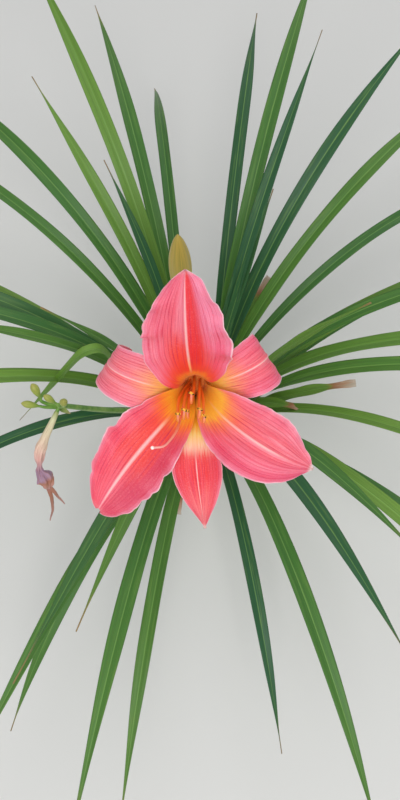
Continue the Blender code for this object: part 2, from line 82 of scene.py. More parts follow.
def node(kind, inputs, tree=None, **settings):
    """Adds a shader node. inputs maps a socket's name or number to a value or to another node's socket.

    The node joins the tree of those sockets. One without such an input is given its tree.
    """
    sockets = [value for value in inputs.values() if isinstance(value, bpy.types.NodeSocket)]
    tree = sockets[0].id_data if sockets else tree
    made = tree.nodes.new(kind)
    for key, value in settings.items():
        setattr(made, key, value)
    for key, value in inputs.items():
        if isinstance(value, bpy.types.NodeSocket):
            tree.links.new(value, made.inputs[key])
        else:
            made.inputs[key].default_value = value
    return made


def object_place(tree):
    """The place of a surface point in its object's own space."""
    return node("ShaderNodeTexCoord", {}, tree).outputs["Object"]


def sums(operation, first, second=0.0, third=0.0):
    """One step of arithmetic on shader values."""
    return node("ShaderNodeMath", {0: first, 1: second, 2: third}, operation=operation).outputs[0]


def times(*values):
    """The product of several values."""
    whole = values[0]
    for value in values[1:]:
        whole = sums("MULTIPLY", whole, value)
    return whole


def scaled(value, factor, extra):
    """value times factor, plus extra."""
    return sums("MULTIPLY_ADD", value, factor, extra)


def ease(value, low, high):
    """0 below low and 1 above high, with a smooth step between."""
    made = node("ShaderNodeMapRange", {"Value": value, "From Min": low, "From Max": high})
    made.interpolation_type = "SMOOTHSTEP"
    return made.outputs[0]


def blend(share, first, second):
    """The first colour where share is 0 and the second where it is 1."""
    first = (*first, 1) if isinstance(first, tuple) else first
    second = (*second, 1) if isinstance(second, tuple) else second
    return node("ShaderNodeMix", {0: share, 6: first, 7: second}, data_type="RGBA").outputs[2]


def ramp(value, stops):
    """A colour that changes along value, from (place, colour) stops."""
    made = node("ShaderNodeValToRGB", {0: value})
    marks = made.color_ramp.elements
    while len(marks) < len(stops):
        marks.new(0.5)
    for mark, (place, colour) in zip(marks, stops):
        mark.position = place
        mark.color = (*colour, 1)
    return made.outputs[0]


def grain(where, scale, detail=3.0, roughness=0.55):
    """Soft noise from 0 to 1."""
    values = {"Vector": where, "Scale": scale, "Detail": detail, "Roughness": roughness}
    return node("ShaderNodeTexNoise", values).outputs[0]


def finish(name, roughness, sheen=0.0, subsurface=0.0, specular=0.4):
    """A material and its node tree and shader, with the values that are the same all over its surface."""
    made = bpy.data.materials.new(name)
    made.use_nodes = True
    tree = made.node_tree
    shader = tree.nodes["Principled BSDF"]
    shader.inputs["Roughness"].default_value = roughness
    shader.inputs["Sheen Weight"].default_value = sheen
    shader.inputs["Sheen Roughness"].default_value = 0.4
    shader.inputs["Subsurface Weight"].default_value = subsurface
    shader.inputs["Subsurface Radius"].default_value = (1.0, 0.35, 0.25)
    shader.inputs["Subsurface Scale"].default_value = 0.0015
    shader.inputs["Specular IOR Level"].default_value = specular
    return made, tree, shader


def coat(shader, colour, height, strength, depth):
    """Gives a shader its colour and its fine relief, whose depth is in metres."""
    tree = shader.id_data
    tree.links.new(colour, shader.inputs["Base Color"])
    made = node("ShaderNodeBump", {"Height": height, "Strength": strength, "Distance": depth})
    tree.links.new(made.outputs[0], shader.inputs["Normal"])


FLOOR, tree, shader = finish("floor_paper", 0.9, specular=0.1)
shade = grain(object_place(tree), 3.0)
floor_colour = blend(times(shade, 0.06), FLOOR_COLOUR, FLOOR_SHADE)
tree.links.new(floor_colour, shader.inputs["Base Color"])
bpy.ops.mesh.primitive_plane_add(size=FLOOR_SIZE, location=(0, 0, -0.0005))
floor = bpy.context.object
floor.name = "floor"
floor.data.materials.append(FLOOR)

for name, place, size, power in LAMPS:
    light = bpy.data.lights.new(name, "AREA")
    light.size = size
    light.energy = power
    lamp = bpy.data.objects.new(name, light)
    lamp.location = place
    lamp.rotation_euler = (BLOOM_MIDDLE - Vector(place)).to_track_quat("-Z", "Y").to_euler()
    bpy.context.scene.collection.objects.link(lamp)
sky = bpy.data.worlds.new("sky")
sky.use_nodes = True
sky.node_tree.nodes["Background"].inputs["Color"].default_value = SKY_COLOUR
sky.node_tree.nodes["Background"].inputs["Strength"].default_value = SKY_STRENGTH
bpy.context.scene.world = sky

# The crown. A short knobbly rhizome with a lobe under each leaf fan and trimmed root stubs round its side.
# Its skin is dry, brown and corky, and the flat cut face under it is cream with darker flecks.
CROWN_HEIGHT = 22 * MM
CROWN_CORE = 34 * MM
LOBE_REACH = 14 * MM
LOBE_HALF_ANGLE = math.radians(32)
ROOT_STUBS = 9
ROOT_START = 32 * MM
ROOT_END = 42 * MM  # without a stub's own length
FAN_SECTORS = ((-123, -94), (-86, -30), (-30, 30), (30, 90), (90, 150), (150, 214))
CROWN_ROWS = 26
CROWN_SIDES = 216
CROWN_PROFILE = ((0, 0.90), (0.18, 0.99), (0.5, 1.03), (0.8, 0.98), (1, 0.86))
SHARP_EDGE = math.radians(55)


def solid(name, mesh, material):
    """The object of a closed mesh, with its faces turned outwards and its shading smooth."""
    shell = bmesh.new()
    shell.from_mesh(mesh)
    bmesh.ops.recalc_face_normals(shell, faces=shell.faces)
    shell.to_mesh(mesh)
    shell.free()
    mesh.materials.append(material)
    mesh.shade_smooth()
    made = bpy.data.objects.new(name, mesh)
    bpy.context.scene.collection.objects.link(made)
    return made


def skin(name, points, rows, sides, maps, material):
    """A round mesh of rows by sides points with capped ends and a map of (around, along)."""
    mesh = bpy.data.meshes.new(name)
    faces = []
    for i in range(rows - 1):
        for k in range(sides):
            a, b = i * sides + k, i * sides + (k + 1) % sides
            faces.append((a, b, b + sides, a + sides))
    last = (rows - 1) * sides
    faces.append(tuple(range(sides))[::-1])
    faces.append(tuple(range(last, last + sides)))
    mesh.from_pydata([tuple(p) for p in points], [], faces)
    layer = mesh.uv_layers.new(name="blade")
    for face in mesh.polygons:
        corners = list(face.vertices)
        around = [k % sides for k in corners]
        seam = max(around) - min(around) > sides / 2
        for loop, k, turn in zip(face.loop_indices, corners, around):
            across = (turn + (sides if seam and turn < sides / 2 else 0)) / sides
            layer.data[loop].uv = (across, maps[k // sides])
    made = solid(name, mesh, material)
    mesh.set_sharp_from_angle(angle=SHARP_EDGE)
    return made


def curve(points, steps):
    """Points along a Catmull-Rom curve through the given ones."""
    given = [np.array(p, float) for p in points]
    given = [2 * given[0] - given[1], *given, 2 * given[-1] - given[-2]]
    spans = len(given) - 3
    out = []
    for k in range(steps + 1):
        where = min(k / steps * spans, spans - 1e-9)
        i, t = int(where), where - int(where)
        a, b, c, d = given[i : i + 4]
        bent = (2 * a - 5 * b + 4 * c - d) * t**2 + (3 * b - a - 3 * c + d) * t**3
        out.append(0.5 * (2 * b + (c - a) * t + bent))
    return np.array(out)


def limb(name, centres, radii, sides, material, shape=None, flat_foot=False, stretch=(0, 1)):
    """A round stem, bud or strand along centres.

    shape(along, turn) may change the radius round it. stretch is the part of the material that it shows.
    """
    along = np.gradient(centres, axis=0)
    along /= np.linalg.norm(along, axis=1)[:, None]
    if flat_foot:
        along[0] = (0, 0, 1)
    side = np.cross(along[0], (0.3, 1, 0.2))
    places = np.linspace(0, 1, len(centres))
    points = []
    for place, centre, way, radius in zip(places, centres, along, radii):
        side = side - way * (side @ way)
        side /= np.linalg.norm(side)
        other = np.cross(way, side)
        for k in range(sides):
            turn = 2 * math.pi * k / sides
            reach = radius * (shape(place, turn) if shape else 1)
            points.append(centre + reach * (math.cos(turn) * side + math.sin(turn) * other))
    return skin(name, points, len(centres), sides, list(np.interp(places, (0, 1), stretch)), material)


def merged(name, pieces):
    """One object from several, whose meshes stay as they are."""
    with bpy.context.temp_override(active_object=pieces[0], selected_editable_objects=pieces):
        bpy.ops.object.join()
    pieces[0].name = name
    pieces[0].data.name = name
    return pieces[0]


def rough(point, scale, size):
    """A lump height that depends on the place in space only."""
    return size * noise.fractal(Vector(point) * scale, 0.7, 2.1, 4)


RHIZOME, tree, shader = finish("rhizome", 0.9, specular=0.15)
where = object_place(tree)
patches = grain(where, 90, 5)
fibres = grain(node("ShaderNodeMapping", {0: where, 3: (300, 300, 60)}).outputs[0], 1.0, 4)
skin_colour = ramp(patches, (
    (0.30, (0.10, 0.055, 0.028)), (0.48, (0.26, 0.16, 0.085)), (0.64, (0.46, 0.34, 0.20))
))
skin_colour = blend(times(fibres, 0.35), skin_colour, (0.10, 0.06, 0.035))
faces_down = node("ShaderNodeSeparateXYZ", {0: node("ShaderNodeNewGeometry", {}, tree).outputs["Normal"]})
cut = ease(faces_down.outputs[2], -0.85, -0.97)
rings = grain(where, 260, 2)
cut_colour = ramp(rings, ((0.35, (0.48, 0.36, 0.20)), (0.6, (0.78, 0.68, 0.46))))
skin_colour = blend(cut, skin_colour, cut_colour)
coat(shader, skin_colour, sums("ADD", patches, times(fibres, 0.6)), 0.7, 0.0012)

middles = [math.radians((low + high) / 2) for low, high in FAN_SECTORS]
points, heights = [], []
for i in range(CROWN_ROWS):
    level = i / (CROWN_ROWS - 1)
    share = np.interp(level, *zip(*CROWN_PROFILE))
    heights.append(level)
    for k in range(CROWN_SIDES):
        turn = 2 * math.pi * k / CROWN_SIDES
        lobe = max(math.cos((turn - middle + math.pi) % (2 * math.pi) - math.pi) for middle in middles)
        near = max(0, (lobe - math.cos(LOBE_HALF_ANGLE)) / (1 - math.cos(LOBE_HALF_ANGLE)))
        radius = (CROWN_CORE + LOBE_REACH * near**0.6) * share
        place = (radius * math.cos(turn), radius * math.sin(turn), level * CROWN_HEIGHT)
        inner = min(1, 4 * level, 4 * (1 - level))
        radius += inner * (rough(place, 90, 1.6 * MM) - 0.9 * MM) - 0.4 * MM
        points.append((radius * math.cos(turn), radius * math.sin(turn), level * CROWN_HEIGHT))
pieces = [skin("crown_skin", points, CROWN_ROWS, CROWN_SIDES, heights, RHIZOME)]
draw = random.Random(5)
for k in range(ROOT_STUBS):
    turn = 2 * math.pi * (k + draw.uniform(-0.25, 0.25)) / ROOT_STUBS
    out = np.array((math.cos(turn), math.sin(turn), 0))
    height = draw.uniform(7, 11) * MM
    length = draw.uniform(9, 15) * MM
    start = out * ROOT_START + np.array((0, 0, height))
    end = out * (ROOT_END + length) + np.array((0, 0, height - 2.5 * MM))
    path = curve([start, (start + end) / 2 + np.array((0, 0, 1 * MM)), end], 18)
    lumps = lambda along, turn, k=k: (
        1 + 0.10 * math.sin(17 * along + k) + 0.06 * math.sin(3 * turn + 9 * along)
    )
    pieces.append(limb("root_stub", path, np.linspace(2.3, 1.4, 19) * MM, 18, RHIZOME, lumps))
crown = merged("crown_rhizome", pieces)
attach(crown, "root")
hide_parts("crown")

# The leaf fans. Each is a sheathed foot from which keeled strap leaves arch out, oldest outside, youngest
# upright. A blade is folded at its foot, opens to a shallow channel and has fine parallel veins. Some blades
# died back to a blunt brown end, and one is buckled.
GAP = 0.3 * MM
FAN_RING = 30 * MM
FAN_HEIGHT = 62 * MM
FAN_HALF_WIDTH = 9.5 * MM
FAN_HALF_DEPTH = 6.0 * MM
SHEATH_SIDES = 48
SHEATH_SHARES = ((0, 1.0), (0.12, 1.06), (0.45, 0.86), (0.8, 0.62), (1, 0.44))
SHEATH_PLACE = 0.12  # how far up a leaf's colours the sheath reaches
SHEATH_TONE = 0.3
LEAF_RANKS = (  # place in the fan, length, lean at foot and tip, half width
    (-0.88, 0.38, 24, 132, 5.6 * MM),
    (0.84, 0.41, 22, 126, 6.0 * MM),
    (-0.56, 0.46, 17, 112, 6.6 * MM),
    (0.52, 0.45, 15, 104, 6.8 * MM),
    (-0.22, 0.42, 11, 84, 6.6 * MM),
    (0.20, 0.36, 8, 66, 6.0 * MM),
    (0.0, 0.25, 4, 36, 4.6 * MM),
)
BLUNT_LEAVES = (  # fan, heading, length, lean at foot and tip
    (1, -98, 0.10, 12, 130),
    (3, -25, 0.122, 6, 66),
    (3, 1, 0.136, 34, 73),
    (4, 57, 0.14, 6, 80),
)
BLUNT_HALF_WIDTH = 5.4 * MM
BLUNT_TIP = 3.4 * MM
BUCKLED_LEAF = (6, 200, 0.325, 14, 144, 4.6 * MM, 0.59)  # the same, with half width and the bend's place
LEAF_TIP = 0.5 * MM
LEAF_STEPS = 64
LEAF_COLUMNS = 12
LEAF_THICKNESS = 0.55 * MM


def smooth(x):
    """0 to 1 with an easy start and end."""
    x = np.clip(x, 0, 1)
    return x * x * (3 - 2 * x)


def mark(mesh, first, second=0.0):
    """A second map that holds the same two values all over a mesh, for its material to read."""
    layer = mesh.uv_layers.new(name="kind")
    layer.data.foreach_set("uv", np.tile(np.array((first, second), np.float32), len(mesh.loops)))


def sheet(name, upper, lower, material, tone=0.5, dry=0.0):
    """A thin closed blade between two grids, with a map of (across, along) and a (tone, dryness) mark."""
    rows, columns = upper.shape[:2]
    points = np.concatenate([upper.reshape(-1, 3), lower.reshape(-1, 3)])
    under = rows * columns
    faces = []
    for i in range(rows - 1):
        for j in range(columns - 1):
            a = i * columns + j
            faces.append((a, a + 1, a + columns + 1, a + columns))
            faces.append((under + a + columns, under + a + columns + 1, under + a + 1, under + a))
    edge = list(range(columns))
    edge += [i * columns + columns - 1 for i in range(1, rows)]
    edge += [(rows - 1) * columns + j for j in range(columns - 2, -1, -1)]
    edge += [i * columns for i in range(rows - 2, 0, -1)]
    for a, b in zip(edge, edge[1:] + edge[:1]):
        faces.append((a, under + a, under + b, b))
    mesh = bpy.data.meshes.new(name)
    mesh.from_pydata([tuple(p) for p in points], [], faces)
    layer = mesh.uv_layers.new(name="blade")
    corners = np.zeros(len(mesh.loops), int)
    mesh.loops.foreach_get("vertex_index", corners)
    grid = corners % under
    places = np.stack([grid % columns / (columns - 1), grid // columns / (rows - 1)], 1)
    layer.data.foreach_set("uv", places.astype(np.float32).ravel())
    mark(mesh, tone, dry)
    return solid(name, mesh, material)


def map_parts(tree, name):
    """The values of a mesh's map, of which the first two count."""
    values = node("ShaderNodeUVMap", {}, tree, uv_map=name).outputs[0]
    return node("ShaderNodeSeparateXYZ", {0: values}).outputs


def blade_places(tree):
    """The place on a blade: across from -1 to 1, how far from the midrib, and along from foot to tip."""
    parts = map_parts(tree, "blade")
    across = scaled(parts[0], 2.0, -1.0)
    return across, sums("ABSOLUTE", across), parts[1]


def streaks(across, along, fine, coarse, seed):
    """Noise drawn out along the blade: fine across it and coarse along it."""
    parts = {0: times(across, fine), 1: times(along, coarse), 2: seed}
    return grain(node("ShaderNodeCombineXYZ", parts).outputs[0], 1.0, 3)


LEAF, tree, shader = finish("leaf_blade", 0.42, sheen=0.05, subsurface=0.06, specular=0.45)
across, off_rib, along = blade_places(tree)
tone, dry = map_parts(tree, "kind")[:2]
tone_seed = times(tone, 37.0)
lines = streaks(across, along, 26, 2.2, tone_seed)
patches = streaks(across, along, 2.5, 9, tone_seed)
green = ramp(along, (
    (0.0, (0.62, 0.66, 0.34)),
    (0.06, (0.34, 0.46, 0.13)),
    (0.16, (0.090, 0.235, 0.030)),
    (0.55, (0.060, 0.195, 0.026)),
    (0.9, (0.085, 0.215, 0.030)),
    (1.0, (0.25, 0.28, 0.06)),
))
cool = blend(ease(tone, 0.55, 0.95), green, (0.022, 0.110, 0.040))
warm = blend(ease(tone, 0.40, 0.05), cool, (0.17, 0.33, 0.040))
warm = blend(times(ease(along, 0.14, 0.0), 0.75), warm, (0.66, 0.68, 0.40))
lined = blend(times(ease(lines, 0.45, 0.62), 0.50), warm, (0.025, 0.095, 0.016))
mottled = blend(times(ease(patches, 0.52, 0.75), 0.30), lined, (0.20, 0.36, 0.07))
# A pale line along the midrib: the rib's paler colour, with painted light along the blade's fold.
rib_and_fold_light = blend(times(ease(off_rib, 0.10, 0.02), 0.45), mottled, (0.24, 0.44, 0.10))
end_wear = sums("ADD", along, times(sums("SUBTRACT", patches, 0.5), 0.16))
tip_brown = times(ease(end_wear, 0.93, 0.985), 0.85)
worn = blend(tip_brown, rib_and_fold_light, (0.34, 0.20, 0.085))
died = times(ease(end_wear, 0.80, 0.88), dry)
died_colour = ramp(end_wear, (
    (0.78, (0.46, 0.40, 0.09)), (0.86, (0.42, 0.16, 0.07)), (0.92, (0.55, 0.34, 0.22)),
    (1.0, (0.62, 0.52, 0.42))
))
tree.links.new(scaled(lines, 0.16, 0.36), shader.inputs["Roughness"])
coat(shader, blend(died, worn, died_colour), lines, 0.45, 0.0005)


def leaf(
    foot, heading, length, leans, half_width, twist=0, drift=0, tip=LEAF_TIP, bend=None, tone=0.5, dry=0.0
):
    """A keeled strap leaf: folded at its foot, open along its arch, with a slow wave in its edges."""
    s = np.linspace(0, 1, LEAF_STEPS + 1)
    arch = 0.25 * s + 0.75 * smooth(s * 1.02) if bend is None else smooth((s - bend) / 0.1)
    steep = np.radians(leans[0] + (leans[1] - leans[0]) * arch)
    turn = heading + math.radians(drift) * s**2
    step = length / LEAF_STEPS
    way = np.stack([np.sin(steep) * np.cos(turn), np.sin(steep) * np.sin(turn), np.cos(steep)], 1)
    up = np.stack([-np.cos(steep) * np.cos(turn), -np.cos(steep) * np.sin(turn), np.sin(steep)], 1)
    middle = (way[1:] + way[:-1]) / 2
    centres = np.array(foot) + np.concatenate([np.zeros((1, 3)), np.cumsum(middle * step, axis=0)])
    width = half_width * (0.74 + 0.26 * smooth(s / 0.3)) * (1 - smooth((s - 0.6) / 0.42) ** 1.4)
    ragged = 1 + 0.10 * dry * np.sin(61 * s + 9 * tone) * smooth((s - 0.9) / 0.1)
    width = np.maximum(width, tip) * ragged
    fold = np.radians(62 - 40 * smooth(s / 0.35) - 8 * s)
    roll = math.radians(twist) * smooth((s - 0.15) / 0.85)
    across = np.cross(way, up)
    side = across * np.cos(roll)[:, None] + up * np.sin(roll)[:, None]
    lift = up * np.cos(roll)[:, None] - across * np.sin(roll)[:, None]
    k = np.linspace(-1, 1, LEAF_COLUMNS + 1)
    channel = np.sqrt(k**2 + 0.02) - math.sqrt(0.02) + 0.10 * np.sin(math.pi * np.abs(k))
    curl = dry * 0.5 * np.outer(smooth((s - 0.84) / 0.16), np.sin(5 * k + 6 * tone) * np.abs(k))
    arm = channel + curl
    wave = 0.5 * MM * np.outer(np.sin(23 * s + 11 * tone) * smooth(s / 0.3), k**3)
    spread = (width * np.cos(fold))[:, None] * k
    rise = (width * np.sin(fold))[:, None] * arm + wave * (1 if tip < BLUNT_TIP else 2)
    upper = centres[:, None] + spread[..., None] * side[:, None] + rise[..., None] * lift[:, None]
    edge = 1 - 0.55 * np.abs(k) ** 4
    rib = 1 + 0.6 * np.exp(-((k / 0.12) ** 2))
    depth = (LEAF_THICKNESS * edge * rib)[None, :] * (1 - 0.3 * s)[:, None]
    lower = upper - depth[..., None] * lift[:, None]
    return sheet("leaf", upper, lower, LEAF, tone, dry)


for number, (low, high) in enumerate(FAN_SECTORS, 1):
    draw = random.Random(100 + number)
    tones = random.Random(900 + number)
    middle = math.radians((low + high) / 2)
    half = math.radians((high - low) / 2 - 3)
    out = np.array((math.cos(middle), math.sin(middle), 0))
    across_fan = np.array((-math.sin(middle), math.cos(middle), 0))
    base = CROWN_HEIGHT + GAP
    points, levels = [], np.linspace(0, 1, 25)
    for level in levels:
        share = np.interp(level, *zip(*SHEATH_SHARES))
        centre = out * (FAN_RING + 3 * MM * level) + np.array((0, 0, base + level * FAN_HEIGHT))
        for k in range(SHEATH_SIDES):
            turn = 2 * math.pi * k / SHEATH_SIDES
            overlap = 1 + 0.05 * math.sin(2 * turn + 5 * level + number)
            overlap -= 0.05 * abs(math.sin(turn * 2.5 + 3 * level))
            wide = FAN_HALF_WIDTH * share * overlap * math.cos(turn)
            deep = FAN_HALF_DEPTH * share * overlap * math.sin(turn)
            points.append(centre + wide * across_fan + deep * out)
    pieces = [skin("sheath", points, len(levels), SHEATH_SIDES, list(levels * SHEATH_PLACE), LEAF)]
    mark(pieces[0].data, SHEATH_TONE)
    for share, length, lean, tip_lean, half_width in LEAF_RANKS:
        height = base + (8 + 14 * (1 - abs(share))) * MM
        foot = out * (FAN_RING + 1 * MM) + across_fan * share * 3.4 * MM + np.array((0, 0, height))
        length *= draw.uniform(0.9, 1.12)
        leans = (lean + draw.uniform(-3, 3), tip_lean + draw.uniform(-12, 10))
        twist = draw.uniform(-25, 25)
        drift = draw.uniform(-6, 6) * (1 - abs(share))
        heading = middle + share * half
        pieces.append(leaf(foot, heading, length, leans, half_width, twist, drift, tone=tones.random()))
    foot = out * (FAN_RING + 2 * MM) + np.array((0, 0, base + 14 * MM))
    for home, heading, length, *leans in BLUNT_LEAVES:
        if home == number:
            way = math.radians(heading)
            hue = tones.uniform(0, 0.3)
            pieces.append(leaf(foot, way, length, leans, BLUNT_HALF_WIDTH, tip=BLUNT_TIP, tone=hue, dry=1.0))
    home, heading, length, lean, tip_lean, half_width, bend = BUCKLED_LEAF
    if home == number:
        leans = (lean, tip_lean)
        pieces.append(leaf(foot, math.radians(heading), length, leans, half_width, bend=bend, tone=0.1))
    leaves = merged(f"fan_{number}_leaves", pieces)
    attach(leaves, "root")
    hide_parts(f"fan_{number}")

# The scapes. Two leafless stalks stand among the fans and fork at their heads, with a pointed bract under a
# fork. They are round and solid, with a smooth, faintly ribbed skin that is mottled green.
SCAPE_A = ((0.003, -0.010), (0.004, -0.040, 0.160), (0.001, -0.080, 0.300), (-0.002, -0.106, 0.392))
SCAPE_B = ((-0.010, 0.004), (-0.040, -0.022, 0.105), (-0.078, -0.055, 0.195), (-0.103, -0.078, 0.262))
THROAT = Vector((-0.0024, -0.1459, 0.4656))
BLOOM_RISE = math.radians(55)
TUBE_LENGTH = 28 * MM
BUD_FOOT = 0.34
STALK_SIDES = 24

STALK, tree, shader = finish("scape_skin", 0.4, sheen=0.08, subsurface=0.05, specular=0.4)
across, _, along = blade_places(tree)
where = object_place(tree)
lines = streaks(across, along, 14, 6, 0.0)
patches = grain(where, 120, 4)
stalk_colour = ramp(patches, (
    (0.35, (0.10, 0.25, 0.035)), (0.5, (0.17, 0.33, 0.055)), (0.68, (0.28, 0.42, 0.10))
))
stalk_colour = blend(times(ease(lines, 0.5, 0.7), 0.3), stalk_colour, (0.06, 0.16, 0.03))
coat(shader, stalk_colour, lines, 0.3, 0.0004)


def in_bloom(points):
    """Points of the bloom's own frame, with its axis on +Z and its top towards +Y, placed on the plant."""
    points = np.asarray(points, float)
    top = np.array((0, math.sin(BLOOM_RISE), math.cos(BLOOM_RISE)))
    axis = np.array((0, -math.cos(BLOOM_RISE), math.sin(BLOOM_RISE)))
    return np.array(THROAT) + points[..., :1] * (1, 0, 0) + points[..., 1:2] * top + points[..., 2:] * axis


def branch(head, foot, tip, thick, slim):
    """A short side stalk from a scape's head that ends squarely under a bud's foot."""
    way = (np.array(tip) - foot) / np.linalg.norm(np.array(tip) - foot)
    path = curve([head - (0, 0, 4 * MM), np.array(foot) - way * 4 * MM, np.array(foot) - way * GAP * 0.1], 24)
    swell = lambda along, turn: 1 + 0.10 * math.exp(-(((along - 0.95) / 0.05) ** 2))
    return limb("branch", path, np.linspace(thick, slim, 25), 16, STALK, swell)


def bract(foot, way, length, half_width):
    """A small pointed scale that clasps the scape under a branch."""
    foot, way = np.array(foot), np.array(way, float)
    way /= np.linalg.norm(way)
    side = np.cross(way, (0, 0, 1))
    side /= np.linalg.norm(side)
    lift = np.cross(side, way)
    places = np.linspace(0, 1, 25)
    k = np.linspace(-1, 1, 9)
    wide = np.interp(places, (0, 0.35, 0.7, 1), (0.7, 1, 0.6, 0.08))
    centres = foot + np.outer(places * length, way) + np.outer(length * 0.12 * places**2, lift)
    spread = half_width * wide[:, None] * k
    rise = 0.35 * half_width * wide[:, None] * np.abs(k) ** 1.4
    upper = centres[:, None] + spread[..., None] * side + rise[..., None] * lift
    return sheet("bract", upper, upper - 0.45 * MM * lift, BRACT, 0.2)


BRACT, tree, shader = finish("bract_scale", 0.55, specular=0.3)
across, _, along = blade_places(tree)
lines = streaks(across, along, 12, 2, 3.0)
bract_colour = ramp(along, ((0.0, (0.22, 0.36, 0.08)), (0.6, (0.36, 0.42, 0.14)), (1.0, (0.46, 0.34, 0.18))))
bract_colour = blend(times(ease(lines, 0.45, 0.65), 0.4), bract_colour, (0.14, 0.22, 0.05))
coat(shader, bract_colour, lines, 0.4, 0.0004)

TALL_BUDS = (
    ("bud_ripe", (-0.009, -0.083, 0.414), (-0.012, -0.066, 0.480), 6.6 * MM),
    ("bud_green", (0.010, -0.111, 0.401), (0.030, -0.121, 0.428), 4.2 * MM),
    ("bud_small", (0.005, -0.119, 0.393), (0.015, -0.139, 0.404), 3.0 * MM),
    ("bud_tiny", (-0.013, -0.112, 0.399), (-0.026, -0.121, 0.411), 2.6 * MM),
)
SHORT_BUDS = (
    ("bud_left_1", (-0.1155, -0.0755, 0.270), (-0.1205, -0.069, 0.281), 3.2 * MM),
    ("bud_left_2", (-0.104, -0.080, 0.271), (-0.1115, -0.0775, 0.280), 2.7 * MM),
    ("bud_left_3", (-0.116, -0.080, 0.265), (-0.129, -0.080, 0.271), 2.8 * MM),
    ("bud_left_4", (-0.0985, -0.081, 0.270), (-0.0965, -0.0835, 0.284), 3.0 * MM),
)
base = CROWN_HEIGHT + GAP
ribs = lambda along, turn: 1 + 0.02 * math.cos(6 * turn)
tall = curve([(*SCAPE_A[0], base), *SCAPE_A[1:]], 96)
pieces = [limb("scape", tall, np.linspace(3.4 * MM, 2.3 * MM, 97), STALK_SIDES, STALK, ribs, flat_foot=True)]
head = tall[-1]
tube_foot, throat = in_bloom([(0, 0, -TUBE_LENGTH), (0, 0, 0)])
pieces.append(branch(head, tube_foot, throat, 2.1 * MM, 2.3 * MM))
for name, foot, tip, radius in TALL_BUDS:
    pieces.append(branch(head, foot, tip, 1.7 * MM, radius * BUD_FOOT))
pieces.append(bract(head - (0, 0, 9 * MM), (0.75, 0.35, 0.75), 21 * MM, 3.4 * MM))
pieces.append(bract(head - (0, 0, 7 * MM), (-0.7, 0.25, 0.7), 17 * MM, 3.0 * MM))
on_stem = curve([(*SCAPE_A[0], base), *SCAPE_A[1:]], 12)[7]
pieces.append(bract(on_stem, (-0.4, 0.45, 0.9), 24 * MM, 3.2 * MM))
scape = merged("scape_tall_stalk", pieces)
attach(scape, "root")
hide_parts("scape_tall")

short = curve([(*SCAPE_B[0], base), *SCAPE_B[1:]], 72)
pieces = [limb("scape", short, np.linspace(2.9 * MM, 1.9 * MM, 73), STALK_SIDES, STALK, ribs, flat_foot=True)]
head_short = short[-1]
for name, foot, tip, radius in SHORT_BUDS:
    pieces.append(branch(head_short, foot, tip, 1.5 * MM, radius * BUD_FOOT))
pieces.append(bract(head_short - (0, 0, 5 * MM), (0.8, -0.6, 0.35), 12 * MM, 2.2 * MM))
spent_foot = head_short + np.array((-0.0015, -0.0045, -0.002))
spent_way = np.array((-0.40, -0.88, -0.24))
pieces.append(branch(head_short, spent_foot, spent_foot + spent_way, 1.6 * MM, 1.4 * MM))
scape = merged("scape_short_stalk", pieces)
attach(scape, "root")
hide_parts("scape_short")

# The buds. Closed flowers on the forks. Three outer tepals meet edge to edge round each, so it is softly
# three-sided. They are green while small and olive yellow when nearly ripe, with a groove along each seam.
BUD, tree, shader = finish("bud_skin", 0.42, sheen=0.1, subsurface=0.08, specular=0.4)
across, _, along = blade_places(tree)
ripe = map_parts(tree, "kind")[0]
lines = streaks(across, along, 30, 2, 5.0)
young = ramp(along, ((0.0, (0.14, 0.30, 0.05)), (0.5, (0.32, 0.44, 0.09)), (1.0, (0.38, 0.40, 0.09))))
grown = ramp(along, ((0.0, (0.20, 0.34, 0.05)), (0.45, (0.52, 0.42, 0.07)), (1.0, (0.46, 0.33, 0.06))))
bud_colour = blend(ripe, young, grown)
bud_colour = blend(times(ease(lines, 0.45, 0.65), 0.35), bud_colour, (0.14, 0.20, 0.03))
coat(shader, bud_colour, lines, 0.35, 0.0004)
BUD_SHAPE = (BUD_FOOT, BUD_FOOT, 0.58, 0.74, 0.88, 0.98, 1.0, 0.90, 0.62, 0.22)
BUD_RINGS = 45
for name, foot, tip, radius in TALL_BUDS + SHORT_BUDS:
    foot, tip = np.array(foot), np.array(tip)
    path = curve([foot, (foot + tip) / 2, tip], BUD_RINGS - 1)
    places = np.linspace(0, 1, BUD_RINGS)
    radii = radius * np.interp(places, np.linspace(0, 1, len(BUD_SHAPE)), BUD_SHAPE)
    radii = np.convolve(np.pad(radii, 2, mode="edge"), np.ones(5) / 5, "valid")
    radii[-3:] *= (0.92, 0.75, 0.3)
    seams = lambda along, turn: 1 - 0.10 * smooth(along / 0.3) * (1 - abs(math.cos(1.5 * turn)) ** 0.5)
    bud = limb(name + "_skin", path, radii, 48, BUD, seams)
    mark(bud.data, 1.0 if name == "bud_ripe" else 0.25)
    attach(bud, "root")
    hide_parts(name)

# The spent flower. Yesterday's bloom hangs from the short scape: its tube still pink and cream, its tepals
# shrunk to a twisted papery roll that is puffed purple-pink in one place and ends in thin brown tails.
WITHERED, tree, shader = finish("withered_paper", 0.75, specular=0.2)
across, _, along = blade_places(tree)
lines = streaks(across, along, 22, 5, 8.0)
faded = ramp(along, (
    (0.0, (0.40, 0.48, 0.16)),
    (0.07, (0.80, 0.78, 0.48)),
    (0.26, (0.88, 0.70, 0.50)),
    (0.50, (0.86, 0.50, 0.44)),
    (0.60, (0.62, 0.36, 0.40)),
    (0.70, (0.44, 0.27, 0.38)),
    (0.82, (0.42, 0.27, 0.36)),
    (0.87, (0.50, 0.22, 0.14)),
    (1.0, (0.62, 0.36, 0.32)),
))
faded = blend(times(ease(lines, 0.50, 0.66), 0.45), faded, (0.40, 0.17, 0.09))
coat(shader, faded, lines, 0.8, 0.0010)
way = [(0, 0, 0), (-5, -11, -3), (-9.5, -19, -8), (-13, -26, -14), (-13.8, -33, -21)]
